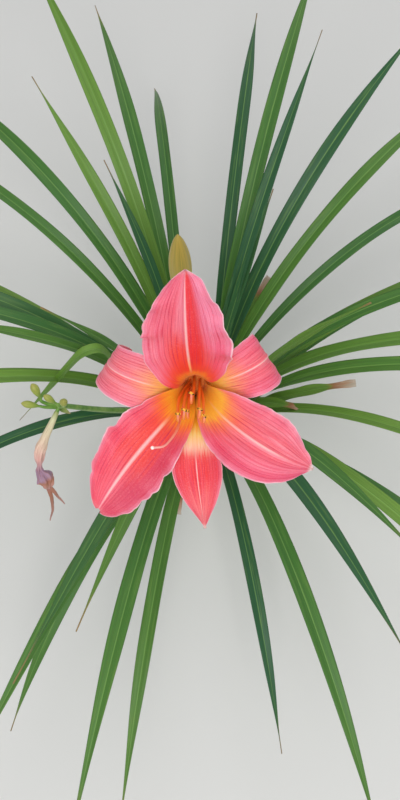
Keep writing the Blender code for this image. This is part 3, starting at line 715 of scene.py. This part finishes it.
way += [(-13.5, -37.5, -25), (-9.5, -42.5, -29), (-8, -47, -34)]
path = curve(spent_foot + np.array(way) * MM, 140)
rings = (1.7, 2.2, 2.6, 2.9, 3.4, 4.0, 4.2, 3.0, 1.9, 1.8, 2.6, 5.0, 5.6, 4.2, 2.0)
radii = np.interp(np.linspace(0, 14, 141), range(15), rings) * MM
creases = lambda along, turn: 1 + smooth((along - 0.2) / 0.4) * (
    0.20 * math.sin(5 * turn + 9 * along)
    + 0.13 * math.sin(9 * turn - 23 * along)
    + 0.10 * math.sin(40 * along)
)
pieces = [limb("spent", path, radii, 64, WITHERED, creases)]
for bow, end in (((2, -10, -12), (-1, -18.5, -24)), ((5.5, -4, -5.5), (11, -9, -12))):
    tail = curve([path[-11], path[-1] + np.array(bow) * MM, path[-1] + np.array(end) * MM], 30)
    kinks = lambda along, turn: 1 + 0.25 * math.sin(3 * turn + 14 * along)
    pieces.append(limb("tail", tail, np.linspace(1.7, 0.4, 31) * MM, 14, WITHERED, kinks, stretch=(0.84, 1)))
spent = merged("spent_flower_roll", pieces)
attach(spent, "root")
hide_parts("spent_flower")

# The flower tube. The six tepals grow together below the throat in a slim funnel, with the ovary at its foot.
# Green at the foot, yellow above, and dusky orange on the floor of the throat where the stamens stand.
TUBE, tree, shader = finish("tube_skin", 0.55, subsurface=0.08, specular=0.15)
across, _, along = blade_places(tree)
lines = streaks(across, along, 20, 2, 2.0)
tube_colour = ramp(along, (
    (0.0, (0.16, 0.32, 0.05)), (0.35, (0.36, 0.44, 0.09)), (0.8, (0.72, 0.42, 0.10)),
    (0.985, (0.86, 0.22, 0.03))
))
tube_colour = blend(times(ease(lines, 0.45, 0.65), 0.3), tube_colour, (0.25, 0.24, 0.04))
coat(shader, tube_colour, lines, 0.3, 0.0004)
stations = np.linspace(-TUBE_LENGTH, -GAP, 41)
radii = np.interp(
    stations, np.array((-28, -24, -18, -9, -0.3)) * MM, np.array((2.4, 3.6, 4.0, 5.2, 8.1)) * MM
)
lobes = lambda along, turn: 1 - 0.05 * smooth(along * 2) * (1 - math.cos(6 * turn)) / 2
path = in_bloom(np.stack([np.zeros(41), np.zeros(41), stations], 1))
tube = limb("flower_tube_skin", path, radii, 60, TUBE, lobes)
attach(tube, "root")
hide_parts("flower_tube")

# The petals and sepals. Three broad inner petals with ruffled edges lie over three narrower, smoother sepals.
# Each is a thin fleshy blade with a pale raised midrib, fine darker veins, a pale rim, and a yellow-orange
# throat.
THROAT_RADIUS = 4.8 * MM
BASE_HALF_WIDTH = 3.9 * MM
SEPAL_SETBACK = 2.0 * MM
TEPAL_STEPS = 140
TEPAL_COLUMNS = 88
TEPAL_TIP = 0.35 * MM
TEPAL_THICKNESS = 0.55 * MM
VEINS = 9.5  # darker lines on each side of the midrib
VEIN_RELIEF = 0.04 * MM
NOTCH_HALF_WIDTH = 1.3 * MM
LEFT_NOTCH = 1.2 * MM  # how deep the left petal's tip is notched
VEIN = (0.62, 0.028, 0.080)
PALE_RIB = (0.97, 0.56, 0.54)
HEART = (0.88, 0.060, 0.025)


def tepal_finish(
    name, stops, seed, edge, rib, heart=(), shade_stripe=(), halves=(), tip=0.0, wash=0.55, vein_from=0.3,
    sooner=0.12, far=()
):
    """The skin of a petal or sepal, whose stops run from the throat to the tip.

    edge is the margin's colour. rib has the midrib's half width and where it starts and fades. heart is
    the red zone's reach across, its start and end along and its share. stripe is the side and share of a
    deep band of painted shade beside the rib. halves has a colour and share for the minus and the plus
    side; on a petal the darker half is painted shade, and a half in LIGHT is painted light. tip is how
    pale the very tip is, wash how mottled the blade, and vein_from where the veins start. sooner is how
    much earlier the stops pass at the margins than at the rib. far has a side, a colour and a share for
    that side's outer half towards the tip.
    """
    made, tree, shader = finish(name, 0.48, sheen=0.08, subsurface=0.35, specular=0.35)
    shader.inputs["Subsurface Scale"].default_value = 0.0022
    shader.inputs["Sheen Tint"].default_value = (1.0, 0.75, 0.80, 1)
    across, off_rib, along = blade_places(tree)
    broad = streaks(across, along, 4.5, 1.6, seed)
    narrow = streaks(across, along, 15, 2.2, seed + 7)
    fine = streaks(across, along, 70, 3.5, seed + 3)
    velvet = grain(object_place(tree), 1600, 2)
    wander = scaled(sums("SUBTRACT", narrow, 0.5), 0.16, along)
    place = scaled(times(off_rib, off_rib), sooner, wander)
    colour = ramp(place, stops)
    opened = ease(place, 0.38, 0.58)
    colour = blend(times(ease(off_rib, 0.30, 0.80), opened, 0.7), colour, edge)
    colour = blend(times(ease(broad, 0.46, 0.62), opened, wash), colour, (0.92, 0.31, 0.38))
    colour = blend(times(ease(narrow, 0.50, 0.38), opened, 0.55), colour, (0.78, 0.055, 0.11))
    # Tints on the two halves. On a petal the darker half is painted shade, and a half in LIGHT is painted
    # light.
    for side, (tint, share) in zip((-1, 1), halves):
        half = ease(times(across, side), 0.0, 0.35)
        colour = blend(times(half, opened, share), colour, tint)
    if far:
        side, tint, share = far
        patch = times(ease(times(across, side), 0.15, 0.6), ease(wander, 0.5, 0.75))
        colour = blend(times(patch, share), colour, tint)
    if heart:
        reach, start, end, share = heart
        zone = ease(scaled(narrow, 0.3, off_rib), reach + 0.30, reach - 0.05)
        zone = times(zone, ease(wander, end + 0.10, end - 0.12), share)
        colour = blend(times(zone, ease(along, start, start + 0.08)), colour, HEART)
    lacy = scaled(ease(fine, 0.3, 0.7), 0.5, 0.2)
    colour = blend(times(ease(off_rib, 0.78, 0.96), opened, lacy), colour, (0.88, 0.30, 0.42))
    # Painted shade: a deep red band beside the rib, on one side of it.
    if shade_stripe:
        side, share = shade_stripe
        beside = times(across, side)
        shade_band = times(ease(beside, 0.01, 0.06), ease(beside, 0.46, 0.20))
        colour = blend(times(shade_band, ease(along, 0.36, 0.46), share), colour, (0.80, 0.028, 0.028))
    bent = scaled(sums("SUBTRACT", narrow, 0.5), 0.11, across)
    bent = scaled(sums("SUBTRACT", broad, 0.5), 0.20, bent)
    comb = sums("ABSOLUTE", sums("SINE", times(bent, VEINS * math.pi)))
    between = sums("ABSOLUTE", sums("COSINE", times(bent, VEINS * math.pi)))
    worn = ease(streaks(across, along, 22, 5, seed + 11), 0.35, 0.62)
    vein_line = times(ease(comb, 0.62, 0.08), scaled(worn, 0.65, 0.35))
    strength = scaled(ease(broad, 0.60, 0.40), 0.50, 0.40)
    on_blade = ease(off_rib, 1.0, 0.84)
    veined = ease(along, vein_from, vein_from + 0.16)
    colour = blend(times(vein_line, veined, strength, on_blade), colour, VEIN)
    colour = blend(times(ease(between, 0.25, 0.0), veined, on_blade, 0.30), colour, VEIN)
    colour = blend(times(ease(fine, 0.50, 0.70), veined, 0.30), colour, VEIN)
    colour = blend(times(ease(velvet, 0.52, 0.66), opened, 0.12), colour, (0.98, 0.45, 0.50))
    width, start, end = rib
    spread = scaled(along, -0.7 * width, 1.35 * width)
    ridge = node("ShaderNodeMapRange", {"Value": off_rib, "From Max": spread}).outputs[0]
    ridge = sums("POWER", sums("SUBTRACT", 1.0, ridge), 0.6)
    seen = times(ridge, ease(along, start, start + 0.12), ease(along, end, end - 0.25), 0.9)
    colour = blend(seen, colour, blend(ease(along, 0.34, 0.54), (1.0, 0.60, 0.20), PALE_RIB))
    rim = times(ease(off_rib, 0.955, 0.99), ease(along, 0.3, 0.5), ease(narrow, 0.30, 0.60))
    colour = blend(times(rim, 0.8), colour, (0.95, 0.60, 0.64))
    colour = blend(times(ease(along, 0.965, 0.995), tip), colour, (0.95, 0.72, 0.66))
    relief = scaled(vein_line, -0.7, times(fine, 0.4))
    relief = scaled(velvet, 0.06, relief)
    coat(shader, colour, relief, 0.4, 0.0004)
    return made


def frill(s, seed):
    """Irregular lobes along a petal's edge with small notches between them, mostly between -1 and 1."""
    draw = random.Random(seed)
    total = np.zeros_like(s)
    for k in range(5):
        lobes = np.abs(np.sin(math.pi * (3.6 * k + draw.uniform(3, 7)) * s + draw.uniform(0, 3.1)))
        total += (2 * lobes - 1.3) / (1 + 0.45 * k)
    return total / 1.8


def tepal(
    name, azimuth, length, leans, half_width, shape, sweep, roll, cup, ruffle, finish, setback=0, notch=0
):
    """A petal or sepal. leans are its angles from the bloom's axis at foot, mouth, middle and tip."""
    broad, blunt = shape
    depth, waves, crimp = ruffle
    s = np.linspace(0, 1, TEPAL_STEPS + 1)
    foot, mouth, half, tip = np.radians(leans)
    lean = foot + (mouth - foot) * smooth(s / 0.3) + (half - mouth) * smooth((s - 0.2) / 0.38)
    lean += (tip - half) * smooth((s - 0.5) / 0.5)
    step = length / TEPAL_STEPS
    between = (lean[1:] + lean[:-1]) / 2
    out = THROAT_RADIUS + setback + np.concatenate([[0], np.cumsum(np.sin(between)) * step])
    height = np.concatenate([[0], np.cumsum(np.cos(between)) * step])
    ends = np.maximum(1 - np.clip((s - broad) / (1 - broad), 0, 1) ** 1.8, 0) ** blunt
    width = (BASE_HALF_WIDTH + (half_width - BASE_HALF_WIDTH) * smooth(s / broad)) * ends
    width = np.maximum(width, TEPAL_TIP)
    opened = smooth((s - 0.22) / 0.33)
    bend = (1 - opened) / out + cup * opened
    t = np.linspace(-1, 1, TEPAL_COLUMNS + 1)
    grown = (smooth((s - 0.3) / 0.3) * (1 - smooth((s - 0.95) / 0.05)))[:, None]
    seed = int(azimuth)
    edge_wave = np.where(t > 0, frill(s, seed)[:, None], frill(s, seed + 1)[:, None])
    reach = 1 + crimp * edge_wave * grown * np.abs(t) ** 7
    across, arc = width[:, None] * t * reach, bend[:, None]
    sideways = np.sin(across * arc) / arc
    lift = (1 - np.cos(across * arc)) / arc
    wave = np.sin(2 * math.pi * waves * s[:, None] + (t > 0) * 1.9)
    crisp = np.where(t > 0, frill(s, seed + 2)[:, None], frill(s, seed + 3)[:, None])
    lift = lift + depth * grown * (np.abs(t) ** 2.5 * wave + 0.45 * np.abs(t) ** 5 * crisp)
    trough = np.exp(-((t / 0.05) ** 2)) * 0.45 - np.exp(-(((np.abs(t) - 0.17) / 0.11) ** 2)) * 0.55
    swell = 0.35 * np.sin(9.5 * t + 2.2 * s[:, None] + azimuth) * np.sin(math.pi * np.abs(t))
    pleat = (trough + swell) * (half_width / (20 * MM)) * MM
    lift = lift + pleat * (smooth((s - 0.25) / 0.3) * (1 - 0.6 * smooth((s - 0.7) / 0.3)))[:, None]
    lift = lift - VEIN_RELIEF * np.cos(2 * math.pi * VEINS * t) * (1 - np.abs(t) ** 8) * grown
    turned = (roll * smooth((s - 0.25) / 0.4))[:, None]
    drift = sweep * np.maximum(s - 0.3, 0) ** 2 / 0.49
    aside = sideways * np.cos(turned) - lift * np.sin(turned) + drift[:, None]
    raised = sideways * np.sin(turned) + lift * np.cos(turned)
    radial = out[:, None] - np.cos(lean)[:, None] * raised
    level = height[:, None] + np.sin(lean)[:, None] * raised
    angle = math.radians(azimuth)
    upper = np.stack(
        [
            radial * math.cos(angle) - aside * math.sin(angle),
            radial * math.sin(angle) + aside * math.cos(angle),
            level,
        ],
        -1,
    )
    back = np.gradient(upper, axis=0)
    back /= np.linalg.norm(back, axis=-1)[..., None]
    dent = notch * np.exp(-((sideways / NOTCH_HALF_WIDTH) ** 2)) * smooth((s - 0.93) / 0.07)[:, None]
    upper = upper - dent[..., None] * back
    normal = np.cross(np.gradient(upper, axis=1), np.gradient(upper, axis=0))
    normal /= np.linalg.norm(normal, axis=-1)[..., None]
    inwards = -np.array((math.cos(angle), math.sin(angle), 0))
    if normal[4, TEPAL_COLUMNS // 2] @ inwards > 0:
        normal = -normal
    depth = TEPAL_THICKNESS * (1 + 0.5 * np.exp(-((t / 0.1) ** 2)) - 0.5 * np.abs(t) ** 4)
    lower = upper + depth[None, :, None] * normal
    lower[0, :, 2] = upper[0, :, 2]
    blade = sheet(name + "_blade", in_bloom(upper), in_bloom(lower), finish)
    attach(blade, "root")
    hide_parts(name)


LILAC = (0.90, 0.30, 0.44)
# The margins' colour. It is also painted shade on one half of the top and right petals.
MARGIN = (0.80, 0.10, 0.20)
# Painted shade for the left petal's shaded half.
PAINTED_SHADE = (0.60, 0.032, 0.075)
RED = (0.84, 0.052, 0.090)
# A lighter pink. It is also painted light on one half of the top and right petals.
LIGHT = (0.91, 0.26, 0.30)
PETAL_STOPS = (
    (0.0, (0.80, 0.26, 0.02)), (0.08, (1.0, 0.42, 0.02)), (0.20, (1.0, 0.50, 0.02)),
    (0.33, (1.0, 0.47, 0.03)), (0.41, (0.93, 0.20, 0.03)), (0.50, (0.90, 0.10, 0.07)),
    (0.62, (0.88, 0.135, 0.17)), (1.0, (0.87, 0.16, 0.23))
)
SUNNY_STOPS = (
    (0.0, (0.80, 0.26, 0.02)), (0.08, (1.0, 0.44, 0.02)), (0.20, (1.0, 0.54, 0.03)),
    (0.38, (1.0, 0.55, 0.06)), (0.45, (0.97, 0.28, 0.09)), (0.53, (0.92, 0.17, 0.12)),
    (0.62, (0.88, 0.155, 0.18)), (1.0, (0.87, 0.17, 0.23))
)
TOP_STOPS = (
    (0.0, (0.80, 0.26, 0.02)), (0.08, (1.0, 0.34, 0.02)), (0.22, (1.0, 0.38, 0.02)),
    (0.29, (1.0, 0.30, 0.02)), (0.36, (0.90, 0.10, 0.05)), (0.46, (0.87, 0.10, 0.12)),
    (0.60, (0.88, 0.14, 0.19)), (1.0, (0.87, 0.17, 0.25))
)
SEPAL_STOPS = (
    (0.0, (0.60, 0.26, 0.02)), (0.18, (1.0, 0.50, 0.02)), (0.34, (1.0, 0.58, 0.12)),
    (0.47, (1.0, 0.38, 0.18)), (0.58, (0.89, 0.18, 0.19)), (1.0, (0.86, 0.14, 0.22))
)
# The low sepal starts dark olive at its foot: painted shade deep in the throat.
LOW_STOPS = (
    (0.0, (0.14, 0.10, 0.015)), (0.2, (0.90, 0.42, 0.02)), (0.37, (1.0, 0.50, 0.03)),
    (0.44, (1.0, 0.72, 0.24)), (0.52, (1.0, 0.64, 0.44)), (0.58, (0.87, 0.085, 0.080)),
    (0.70, (0.86, 0.036, 0.042)), (0.95, (0.92, 0.22, 0.22))
)
# The top petal's minus half is darkened with painted shade and its plus half lightened with painted light.
# Its deep stripe beside the rib is painted shade.
top_finish = tepal_finish(
    "petal_top", TOP_STOPS, 1.0, MARGIN, (0.040, 0.24, 1.1), (0.46, 0.28, 0.62, 0.85), (-1, 0.9),
    ((MARGIN, 0.35), (LIGHT, 0.15)), 0.2, far=(-1, LILAC, 0.6)
)
# The left petal's plus half is darkened with painted shade.
left_finish = tepal_finish(
    "petal_left", PETAL_STOPS, 11.0, MARGIN, (0.075, 0.36, 1.1), (0.50, 0.40, 0.74, 0.7), (),
    ((RED, 0.6), (PAINTED_SHADE, 0.9)), 0.1, wash=0.35, sooner=0.05, far=(1, (0.80, 0.20, 0.34), 0.15)
)
# The right petal's minus half is darkened with painted shade and its plus half lightened with painted light.
right_finish = tepal_finish(
    "petal_right", SUNNY_STOPS, 23.0, MARGIN, (0.055, 0.20, 0.95), (), (), ((MARGIN, 0.4), (LIGHT, 0.2)), 0.9
)
side_finish = tepal_finish(
    "sepal_side", SEPAL_STOPS, 31.0, (0.86, 0.19, 0.28), (0.035, 0.36, 1.1),
    halves=((LIGHT, 0.3), (LIGHT, 0.3)), sooner=0.07
)
near_finish = tepal_finish(
    "sepal_near", SEPAL_STOPS, 37.0, (0.88, 0.15, 0.26), (0.035, 0.36, 1.1),
    halves=((MARGIN, 0.3), (MARGIN, 0.3)), wash=0.35, sooner=0.0
)
low_finish = tepal_finish(
    "sepal_low", LOW_STOPS, 43.0, (0.80, 0.055, 0.085), (0.035, 0.52, 1.1), tip=0.7, wash=0.10,
    vein_from=0.52, sooner=0.0
)
CUP, FLARE = 6.0, -4.0  # curvature across the petals and the sepals, per metre
# Name, azimuth, length, leans, half width, where it is broadest and how blunt it is, sweep to a side, roll,
# the ruffle's depth, waves and crimp, and the finish. Lengths are in millimetres.
TEPALS = (
    ("petal_top", 99.7, 98, (4, 20, 50, 72), 22.2, (0.58, 0.73), -6.9, -0.35, (1.8, 6, 0.034), top_finish),
    ("petal_left", 219, 94, (4, 20, 72, 73), 18.8, (0.675, 0.51), 10.9, 0.21, (1.4, 6, 0.050), left_finish),
    ("petal_right", 324, 94, (4, 20, 50, 110), 18.5, (0.685, 0.95), 7.4, -0.43, (1, 5, 0.022), right_finish),
    ("sepal_right", 24, 74, (4, 22, 74, 235), 14.3, (0.70, 0.51), 4.5, -0.15, (0.4, 4, 0.010), near_finish),
    ("sepal_left", 167, 87, (4, 22, 91, 235), 13.4, (0.53, 0.71), -10.1, 0.37, (0.4, 4, 0.010), side_finish),
    ("sepal_low", 268.8, 83, (4, 22, 63, 86), 12.6, (0.654, 1.2), 6.3, 0.08, (0.4, 4, 0.012), low_finish),
)
for name, azimuth, length, leans, half_width, shape, sweep, roll, (depth, waves, crimp), look in TEPALS:
    bend, setback = (FLARE, SEPAL_SETBACK) if name.startswith("sepal") else (CUP, 0)
    notch = LEFT_NOTCH if name == "petal_left" else 0
    size = (length * MM, leans, half_width * MM, shape, sweep * MM, roll)
    tepal(name, azimuth, *size, bend, (depth * MM, waves, crimp), look, setback, notch)

# The stamens and the pistil. Six slender filaments stand on the throat's floor and curl up at their ends,
# each with a dark anther dusted with yellow pollen laid across its tip. The longer style ends in a small pale
# knob.
STAMEN_RING = 2.9 * MM
FILAMENT_RADIUS = 0.72 * MM
ANTHER_LENGTH = 3.2 * MM
ANTHER_RADIUS = 0.75 * MM
SEEN_LENGTH = 0.84  # the anthers are a little shorter and slimmer than their solids
SEEN_RADIUS = 0.85
ANTHER_SKIN = (0.060, 0.022, 0.010)
POLLEN = (0.95, 0.42, 0.05)
ANTHER_DROOP = 0.5 * MM
STYLE_RADIUS = 0.6 * MM
STIGMA_RADIUS = 1.0 * MM
STAMENS = (  # place round the throat, slant of the anther, and three points of the route in millimetres
    (100, -40, (-0.7, 1.6, 27), (-1.7, 0.4, 50), (-1.6, 6.3, 58)),
    (160, -5, (-8.0, -2.5, 30), (-8.0, -6.7, 54), (-7.8, -2.5, 62)),
    (205, -35, (-5.0, -1.2, 30), (-5.2, -6.0, 54), (-4.9, -0.4, 63)),
    (265, -30, (-2.9, -2.9, 28), (-3.3, -6.5, 50), (-3.6, -2.3, 57)),
    (325, -45, (4.0, -2.0, 30), (4.3, -7.4, 54), (4.5, -3.7, 61)),
    (30, -35, (2.1, -0.2, 28), (1.9, -5.5, 54), (2.5, -0.4, 62)),
)

FILAMENT, tree, shader = finish("filament", 0.45, subsurface=0.15, specular=0.35)
across, _, along = blade_places(tree)
strand_colour = ramp(along, (
    (0.0, (0.95, 0.28, 0.03)), (0.3, (1.0, 0.30, 0.04)), (0.8, (1.0, 0.32, 0.09)), (0.95, (1.0, 0.38, 0.26))
))
strand_lines = streaks(across, along, 8, 12, 1.0)
strand_colour = blend(times(strand_lines, 0.25), strand_colour, (0.80, 0.15, 0.03))
coat(shader, strand_colour, strand_lines, 0.3, 0.0002)

ANTHER, tree, shader = finish("anther", 0.85, specular=0.15)
where = object_place(tree)
along = map_parts(tree, "blade")[1]
dust = scaled(sums("ABSOLUTE", sums("SUBTRACT", along, 0.5)), -0.45, grain(where, 1500, 2))
pollen = ease(dust, 0.28, 0.38)
coat(shader, blend(pollen, ANTHER_SKIN, POLLEN), pollen, 0.9, 0.0002)

for number, (turn, slant, *places) in enumerate(STAMENS, 1):
    turn, slant = math.radians(turn), math.radians(slant)
    route = [np.array((STAMEN_RING * math.cos(turn), STAMEN_RING * math.sin(turn), 0))]
    route += [np.array(place) * MM for place in places]
    path = curve(route, 9)
    way = (path[-1] - path[-2]) / np.linalg.norm(path[-1] - path[-2])
    seat = route[-1] + way * (ANTHER_RADIUS + GAP + 0.2 * MM)
    strand_path = np.concatenate([curve(route, 60), [seat]])
    taper = lambda along, turn: 1.08 - 0.3 * along
    strand = limb(
        f"filament_{number}_strand", in_bloom(strand_path), [FILAMENT_RADIUS] * 62, 14, FILAMENT, taper
    )
    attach(strand, "root")
    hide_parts(f"filament_{number}")
    lie = np.array((math.cos(slant), math.sin(slant), 0))
    lie -= way * (lie @ way)
    lie /= np.linalg.norm(lie)
    droop = np.cross(way, lie)
    k = np.linspace(-0.5, 0.5, 25)
    sag = np.outer(ANTHER_DROOP * (2 * k) ** 2, droop)
    ends = seat + np.outer(SEEN_LENGTH * k * ANTHER_LENGTH, lie) - sag
    swell = SEEN_RADIUS * ANTHER_RADIUS * np.sqrt(np.maximum(1 - (2 * k * 0.97) ** 4, 0.05))
    halves = lambda along, turn: (
        1 - 0.22 * abs(math.cos(turn)) ** 6 + 0.05 * math.sin(30 * along + 4 * turn)
    )
    anther = limb(f"anther_{number}_sac", in_bloom(ends), swell, 24, ANTHER, halves)
    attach(anther, "root")
    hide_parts(f"anther_{number}")

STYLE, tree, shader = finish("style", 0.4, subsurface=0.2, specular=0.4)
across, _, along = blade_places(tree)
style_colour = ramp(along, (
    (0.0, (0.95, 0.28, 0.06)), (0.5, (1.0, 0.32, 0.18)), (0.75, (1.0, 0.34, 0.27)), (0.96, (1.0, 0.50, 0.45)),
    (0.99, (1, 0.9, 0.87))
))
style_lines = streaks(across, along, 6, 14, 4.0)
style_colour = blend(times(style_lines, 0.2), style_colour, (1.0, 0.36, 0.28))
coat(shader, style_colour, style_lines, 0.3, 0.0002)
route = [(0, 0, 0), (-4.9, -4.0, 24), (-7.1, -8.9, 46), (-8.7, -11.5, 57), (-11.4, -13.8, 65)]
route += [(-14.5, -15.2, 71), (-19.8, -14.5, 76)]
path = curve(np.array(route) * MM, 96)
knob = STIGMA_RADIUS * np.array((0.70, 0.86, 0.80, 0.4))
radii = np.concatenate([np.linspace(STYLE_RADIUS * 1.1, STYLE_RADIUS * 0.8, 93), knob])
style = limb("pistil_style", in_bloom(path), radii, 16, STYLE)
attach(style, "root")
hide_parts("pistil")
